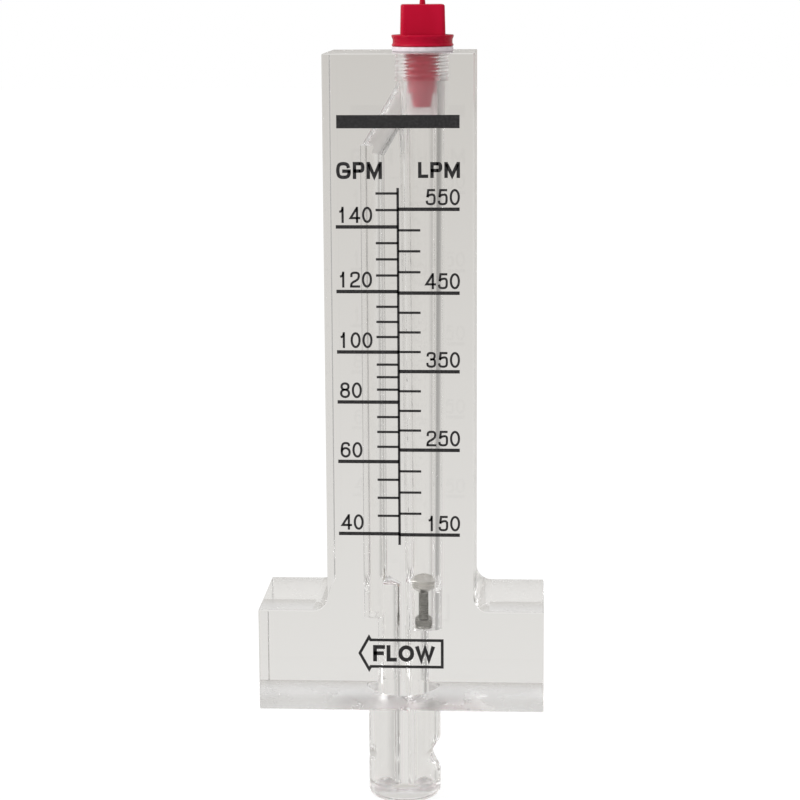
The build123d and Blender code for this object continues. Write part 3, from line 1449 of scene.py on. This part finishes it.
@dataclass
class Plate:
    """A thin printed layer that is put together from strokes of a pen."""

    front: float
    back: float
    corners: list[Point] = field(default_factory=list)
    faces: list[list[int]] = field(default_factory=list)

    def draw(self, line: Sequence[Corner], pen: float, closed: bool = False) -> None:
        """Draw one line of even width, with mitred corners.

        Args:
            line: The line's points, in X and Z.
            pen: The line's width.
            closed: Whether its end joins its start.
        """
        first = len(self.corners)
        count = len(line)
        for index, (x, z) in enumerate(line):
            before = line[index - 1] if index or closed else line[index]
            after = line[(index + 1) % count] if index < count - 1 or closed else line[index]
            across = self._across(before, (x, z), after) * (pen / 2)
            for side in (1, -1):
                for y in (self.front, self.back):
                    self.corners.append((x + side * across.x, y, z + side * across.y))
        for index in range(count if closed else count - 1):
            low, high = first + 4 * index, first + 4 * ((index + 1) % count)
            for a, b in ((0, 1), (1, 3), (3, 2), (2, 0)):
                self.faces.append([low + a, low + b, high + b, high + a])
        if not closed:
            last = first + 4 * (count - 1)
            self.faces.append([first, first + 1, first + 3, first + 2])
            self.faces.append([last, last + 1, last + 3, last + 2])

    @staticmethod
    def _across(before: Corner, at: Corner, after: Corner) -> Vector:
        """The direction across the line at one of its points, longer where it turns.

        Args:
            before: The point before.
            at: The point.
            after: The point after.

        Returns:
            The direction, at a length of 1 where the line runs straight.
        """
        towards = Vector((at[0] - before[0], at[1] - before[1]))
        away = Vector((after[0] - at[0], after[1] - at[1]))
        if not towards.length:
            towards = away
        if not away.length:
            away = towards
        middle = towards.normalized() + away.normalized()
        middle.normalize()
        sharpest = 0.42
        reach = max(sharpest, middle.dot(away.normalized()))
        return Vector((-middle.y, middle.x)) / reach

    def write(self, text: str, low: Corner, height: float, pen: float, width: float = 0.0, right: bool = False) -> None:
        """Write a word in strokes.

        Args:
            text: The word.
            low: The lower corner of its box in X and Z: the left one, or the right one if it ends there.
            height: The height of its characters.
            pen: The width of their strokes.
            width: How wide the word is made, or 0 for its own width.
            right: Whether low is the word's right end.
        """
        glyphs = [GLYPHS[character] for character in text]
        places = []
        at = -glyphs[0].before
        for glyph in glyphs:
            places.append(at + glyph.before)
            at += glyph.before + glyph.width + glyph.after
        natural = at - glyphs[-1].after
        scale = (width or natural * height) / natural
        left = low[0] - natural * scale if right else low[0]
        for glyph, place in zip(glyphs, places):
            for stroke in glyph.strokes:
                line = [
                    Vector(
                        (
                            left + place * scale + pen / 2 + u * (glyph.width * scale - pen),
                            low[1] + pen / 2 + v * (height - pen),
                        )
                    )
                    for u, v in stroke.path()
                ]
                if not stroke.rounded:
                    self._reach(line, [share * pen / 2 for share in stroke.reach])
                self.draw(line, pen, stroke.closed)

    @staticmethod
    def _reach(line: list[Vector], reach: Sequence[float]) -> None:
        """Make a line longer at its two ends.

        Args:
            line: The line's points.
            reach: How much further its start and its end go.
        """
        line[0] += (line[0] - line[1]).normalized() * reach[0]
        line[-1] += (line[-1] - line[-2]).normalized() * reach[1]

    def build(self, name: str, ink: bpy.types.Material) -> bpy.types.Object:
        """Make the printed piece.

        Args:
            name: Its name.
            ink: Its material.

        Returns:
            The piece.
        """
        piece = mesh_object(name, self.corners, self.faces, merge=0)
        paint(piece, [ink])
        return piece


@dataclass
class PrintedScale:
    """The print on the block's face: marks, numerals, headings, a header bar and the flow arrow."""

    block: tuple[Vector, Vector] = field(default_factory=lambda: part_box("meter_body"))
    film: float = 0.035 * MM
    bite: float = 0.008 * MM
    spine_x: float = -0.1 * MM
    spine_low: float = 33.9 * MM
    spine_high: float = 103.8 * MM
    spine_width: float = 0.49 * MM
    long_width: float = 0.68 * MM
    short_width: float = 0.46 * MM
    numeral_height: float = 3.1 * MM
    numeral_gap: float = 0.42 * MM
    numeral_pen: float = 0.44 * MM
    heading_pen: float = 0.66 * MM
    word_pen: float = 0.78 * MM
    bar_low: Corner = (-11.7 * MM, 115.1 * MM)
    bar_high: Corner = (11.7 * MM, 117.6 * MM)
    word_low: Corner = (-5.49 * MM, 10.13 * MM)
    word_high: Corner = (6.76 * MM, 13.48 * MM)
    arrow_pen: float = 0.56 * MM
    ink: bpy.types.Material = field(default_factory=lambda: InkFinish().make())

    def build(self) -> list[bpy.types.Object]:
        """Build every printed piece.

        Returns:
            The pieces, each riding on the block.
        """
        pieces = [self._bars(), self._numerals(), self._headings(), self._header_bar(), self._arrow(), self._word()]
        for piece in pieces:
            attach(piece, "block")
        return pieces

    def _plate(self) -> Plate:
        """An empty layer of ink on the block's face."""
        face = self.block[0].y
        return Plate(face - self.film, face + self.bite)

    def _marks(self) -> list[tuple[float, float, float, float]]:
        """Work out every bar: the place of its centre along X, its height, its length and its width."""
        marks = []
        for unit in Unit:
            column = unit.value
            for (value, low), (following, high) in zip(column.majors, column.majors[1:]):
                count = (following - value) // column.step
                for step in range(1, count):
                    marks.append(self._mark(column.short_end, low + (high - low) * step / count, self.short_width))
            for _, height in column.majors:
                marks.append(self._mark(column.long_end, height, self.long_width))
            for _, height in column.beyond:
                marks.append(self._mark(column.short_end, height, self.short_width))
        return marks

    def _mark(self, end: float, height: float, width: float) -> tuple[float, float, float, float]:
        """One bar from the spine to its end."""
        return (end + self.spine_x) / 2, height, abs(end - self.spine_x), width

    def _bars(self) -> bpy.types.Object:
        """Print the marks and the spine, each as a bar set on a point by Geometry Nodes."""
        marks = self._marks()
        spine = (
            self.spine_x,
            (self.spine_low + self.spine_high) / 2,
            self.spine_width,
            self.spine_high - self.spine_low,
        )
        marks.append(spine)
        mesh = bpy.data.meshes.new("scale_bars")
        mesh.from_pydata([(x, self.block[0].y, z) for x, z, _, _ in marks], [], [])
        sizes = mesh.attributes.new("bar_size", "FLOAT_VECTOR", "POINT")
        for slot, (_, _, length, width) in zip(sizes.data, marks):
            slot.vector = (length, self.film + self.bite, width)
        bars = bpy.data.objects.new("scale_bars", mesh)
        bpy.context.scene.collection.objects.link(bars)
        modifier = bars.modifiers.new("bars", "NODES")
        modifier.node_group = self._bar_tree()
        for item in modifier.node_group.interface.items_tree:
            if item.item_type == "SOCKET" and item.name == "Forward":
                modifier[item.identifier] = (self.film - self.bite) / 2
            if item.item_type == "SOCKET" and item.name == "Ink":
                modifier[item.identifier] = self.ink
        settle(bars)
        return bars

    def _bar_tree(self) -> bpy.types.NodeTree:
        """The node tree that sets a bar of its own size on each point.

        Returns:
            The tree, with the inputs Forward and Ink.
        """
        tree = bpy.data.node_groups.new("bars_on_points", "GeometryNodeTree")
        tree.interface.new_socket("Geometry", in_out="INPUT", socket_type="NodeSocketGeometry")
        tree.interface.new_socket("Forward", in_out="INPUT", socket_type="NodeSocketFloat")
        tree.interface.new_socket("Ink", in_out="INPUT", socket_type="NodeSocketMaterial")
        tree.interface.new_socket("Geometry", in_out="OUTPUT", socket_type="NodeSocketGeometry")
        given = tree.nodes.new("NodeGroupInput")
        result = tree.nodes.new("NodeGroupOutput")
        cube = tree.nodes.new("GeometryNodeMeshCube")
        cube.inputs["Size"].default_value = (1.0, 1.0, 1.0)
        size = tree.nodes.new("GeometryNodeInputNamedAttribute")
        size.data_type = "FLOAT_VECTOR"
        size.inputs["Name"].default_value = "bar_size"
        offset = tree.nodes.new("ShaderNodeCombineXYZ")
        backwards = tree.nodes.new("ShaderNodeMath")
        backwards.operation = "MULTIPLY"
        backwards.inputs[1].default_value = -1.0
        shift = tree.nodes.new("GeometryNodeSetPosition")
        instances = tree.nodes.new("GeometryNodeInstanceOnPoints")
        real = tree.nodes.new("GeometryNodeRealizeInstances")
        coat = tree.nodes.new("GeometryNodeSetMaterial")
        link = tree.links.new
        link(given.outputs["Forward"], backwards.inputs[0])
        link(backwards.outputs[0], offset.inputs["Y"])
        link(given.outputs["Geometry"], shift.inputs["Geometry"])
        link(offset.outputs[0], shift.inputs["Offset"])
        link(shift.outputs["Geometry"], instances.inputs["Points"])
        link(cube.outputs["Mesh"], instances.inputs["Instance"])
        link(size.outputs["Attribute"], instances.inputs["Scale"])
        link(instances.outputs["Instances"], real.inputs["Geometry"])
        link(real.outputs["Geometry"], coat.inputs["Geometry"])
        link(given.outputs["Ink"], coat.inputs["Material"])
        link(coat.outputs["Geometry"], result.inputs["Geometry"])
        return tree

    def _numerals(self) -> bpy.types.Object:
        """Print each numbered mark's number, just above the mark's outer end."""
        plate = self._plate()
        for unit in Unit:
            column = unit.value
            for value, height in column.majors:
                low = (column.numeral_edge, height + self.long_width / 2 + self.numeral_gap)
                plate.write(str(value), low, self.numeral_height, self.numeral_pen, right=column.side > 0)
        return plate.build("scale_numerals", self.ink)

    def _headings(self) -> bpy.types.Object:
        """Print the two units over their columns."""
        plate = self._plate()
        for unit in Unit:
            (x0, z0), (x1, z1) = unit.value.heading_low, unit.value.heading_high
            plate.write(unit.value.heading, (x0, z0), z1 - z0, self.heading_pen, width=x1 - x0)
        return plate.build("unit_headings", self.ink)

    def _word(self) -> bpy.types.Object:
        """Print the word inside the arrow."""
        plate = self._plate()
        (x0, z0), (x1, z1) = self.word_low, self.word_high
        plate.write("FLOW", (x0, z0), z1 - z0, self.word_pen, width=x1 - x0)
        return plate.build("flow_word", self.ink)

    def _header_bar(self) -> bpy.types.Object:
        """Print the plain bar across the top of the scale."""
        plate = self._plate()
        (x0, z0), (x1, z1) = self.bar_low, self.bar_high
        middle = (z0 + z1) / 2
        plate.draw([(x0, middle), (x1, middle)], z1 - z0)
        return plate.build("header_bar", self.ink)

    def _arrow(self) -> bpy.types.Object:
        """Print the outlined arrow that points downstream."""
        plate = self._plate()
        tip, middle = -8.1 * MM, 11.8 * MM
        barb_x, barb_rise = -6.28 * MM, 3.3 * MM
        neck_x = -5.95 * MM
        right = 8.2 * MM
        half = 2.72 * MM
        line = [
            (tip, middle),
            (barb_x, middle - barb_rise),
            (neck_x, middle - half),
            (right, middle - half),
            (right, middle + half),
            (neck_x, middle + half),
            (barb_x, middle + barb_rise),
        ]
        plate.draw(line, self.arrow_pen, closed=True)
        return plate.build("flow_arrow", self.ink)


@dataclass(frozen=True)
class Room:
    """What stands round the meter: pale paper that is darker and warmer towards the horizon."""

    heights: tuple[tuple[float, Colour], ...] = (
        (-1.0, (0.90, 0.89, 0.87)),
        (-0.3, (0.78, 0.77, 0.75)),
        (0.0, (0.60, 0.58, 0.55)),
        (1.0, (0.85, 0.85, 0.85)),
    )
    around: tuple[Corner, ...] = (
        (-1.0, 1.0),
        (0.4, 1.0),
        (1.0, 0.5),
    )
    front_gloss: float = 0.15
    sky_low: Colour = (0.84, 0.83, 0.82)
    sky_high: Colour = (0.94, 0.94, 0.94)
    window_side: Corner = (1.22, 0.78)

    def make(self) -> bpy.types.World:
        """Build the world."""
        world = bpy.data.worlds.new("room")
        world.use_nodes = True
        graph = Graph(world.node_tree)
        sideways = graph.node("ShaderNodeSeparateXYZ", None, {0: graph.node("ShaderNodeTexCoord")})
        upwards = sideways.other("Z")
        around = self._ramp(graph, sideways, [(place, (tone, tone, tone)) for place, tone in self.around])
        paper = self._ramp(graph, upwards, self.heights)
        paper = graph.node("ShaderNodeVectorMath", {"operation": "MULTIPLY"}, {0: paper, 1: around})
        ray = graph.node("ShaderNodeLightPath")
        through = ray.other("Is Transmission Ray")
        mirrored = ray.other("Is Glossy Ray").most(through)
        gain = sideways.other("Y").ranged(-0.3, 0.3, self.front_gloss, 1.0).most(through)
        room = graph.node("ShaderNodeVectorMath", {"operation": "SCALE"}, {0: paper, 3: gain})
        sky = graph.blend(upwards.ranged(-0.2, 0.9, 0.0, 1.0), self.sky_low, self.sky_high)
        window = sideways.ranged(-1.0, 1.0, *self.window_side, smooth=False)
        light = graph.node("ShaderNodeVectorMath", {"operation": "SCALE"}, {0: sky, 3: window})
        seen = graph.blend(ray, graph.blend(mirrored, light, room), (1.0, 1.0, 1.0))
        back = graph.node("ShaderNodeBackground", None, {"Color": seen, "Strength": 1.0})
        graph.node("ShaderNodeOutputWorld", None, {"Surface": back})
        return world

    @staticmethod
    def _ramp(graph: Graph, along: Wire, stops: Sequence[tuple[float, Colour]]) -> Wire:
        """Lay a ramp along one part of the direction.

        Args:
            graph: The world's graph.
            along: The part, from -1 to 1.
            stops: The place of each stop, in order, with its colour.

        Returns:
            The colour.
        """
        first, span = stops[0][0], stops[-1][0] - stops[0][0]
        settings = {"stops": [((place - first) / span, colour) for place, colour in stops]}
        return graph.node("ShaderNodeValToRGB", settings, {0: along * (1 / span) - first / span})


@dataclass
class Studio:
    """The camera, the floor, the surroundings and the lamps."""

    camera_place: Point = (25.3711 * MM, -443.7825 * MM, 143.0852 * MM)
    yaw: float = -0.0585
    pitch: float = 0.1839
    roll: float = 0.0056
    focal_pixels: float = 2269.21
    photo_pixels: float = 800.0
    sensor: float = 36.0
    floor_reach: float = 3.0
    floor_gap: float = 0.02 * MM
    bounces: int = 32

    def build(self) -> None:
        """Make the camera first, then the floor, the surroundings and the lamps."""
        self._camera()
        self._floor()
        bpy.context.scene.world = Room().make()
        self._lamps()
        scene = bpy.context.scene
        scene.view_settings.view_transform = "Standard"
        scene.cycles.max_bounces = self.bounces
        scene.cycles.transmission_bounces = self.bounces
        scene.cycles.glossy_bounces = self.bounces

    def _camera(self) -> None:
        """Place the camera where the photograph was taken from."""
        forward = Vector((sin(self.yaw) * cos(self.pitch), cos(self.yaw) * cos(self.pitch), -sin(self.pitch)))
        level = Vector((cos(self.yaw), -sin(self.yaw), 0.0))
        down = forward.cross(level)
        right = level * cos(self.roll) + down * sin(self.roll)
        below = down * cos(self.roll) - level * sin(self.roll)
        turn = Matrix((right, -below, -forward)).transposed().to_4x4()
        data = bpy.data.cameras.new("camera")
        data.sensor_width = self.sensor
        data.lens = self.sensor * self.focal_pixels / self.photo_pixels
        data.clip_start = 0.01
        camera = bpy.data.objects.new("camera", data)
        camera.matrix_world = Matrix.Translation(self.camera_place) @ turn
        bpy.context.scene.collection.objects.link(camera)
        bpy.context.scene.camera = camera

    def _floor(self) -> None:
        """Lay pale paper just under the probe's tip, white to the camera and with a soft shadow."""
        level = CAD_BOUNDS[0].z - self.floor_gap
        reach = self.floor_reach
        corners = [(-reach, -reach, level), (reach, -reach, level), (reach, reach, level), (-reach, reach, level)]
        paper = mesh_object("paper_floor", corners, [[0, 1, 2, 3]])
        material, graph = new_material("paper_pale")
        fibre = graph.noise(graph.place(), 260.0, 4.0)
        tone = graph.blend(fibre.ranged(0.3, 0.7, 0.0, 1.0), (0.80, 0.79, 0.78), (0.83, 0.82, 0.81))
        matt = graph.node("ShaderNodeBsdfDiffuse", None, {"Color": tone})
        white = graph.node("ShaderNodeEmission", None, {"Color": (1.0, 1.0, 1.0), "Strength": 1.08})
        ray = graph.node("ShaderNodeLightPath")
        seen = ray.most(ray.other("Is Glossy Ray")).most(ray.other("Is Transmission Ray"))
        lit = graph.node("ShaderNodeMixShader", None, {0: seen * 0.86, 1: matt, 2: white})
        graph.node("ShaderNodeOutputMaterial", None, {"Surface": lit})
        paint(paper, [material])
        paper.visible_transmission = False
        paper.visible_glossy = False

    def _lamps(self) -> None:
        """Hang a large soft lamp at the upper left and a weaker one at the right."""
        middle = (CAD_BOUNDS[0] + CAD_BOUNDS[1]) / 2
        for name, place, width, power in (
            ("lamp_key", Vector((-0.62, -0.32, 0.42)), 0.32, 3.2),
            ("lamp_fill", Vector((0.55, -0.35, 0.40)), 0.30, 0.35),
        ):
            data = bpy.data.lights.new(name, "AREA")
            data.shape = "SQUARE"
            data.size = width
            data.energy = power
            lamp = bpy.data.objects.new(name, data)
            aim = (middle - place).to_track_quat("-Z", "Y")
            lamp.matrix_world = Matrix.Translation(place) @ aim.to_matrix().to_4x4()
            bpy.context.scene.collection.objects.link(lamp)


def report(piece: bpy.types.Object) -> None:
    """Log one piece with its size.

    Args:
        piece: The finished piece.
    """
    LOG.info("%s: %d faces, %s mm", piece.name, len(piece.data.polygons), [round(v / MM, 2) for v in piece.dimensions])


def main() -> None:
    """Build the studio and every piece, and report them."""
    logging.basicConfig(level=logging.INFO, format="%(name)s: %(message)s")
    Studio().build()
    report(AcrylicBody().build())
    report(TopPlug().build())
    report(PlugGasket().build())
    report(MeteringFloat().build())
    for piece in PrintedScale().build():
        report(piece)


if __name__ == "__main__":
    main()
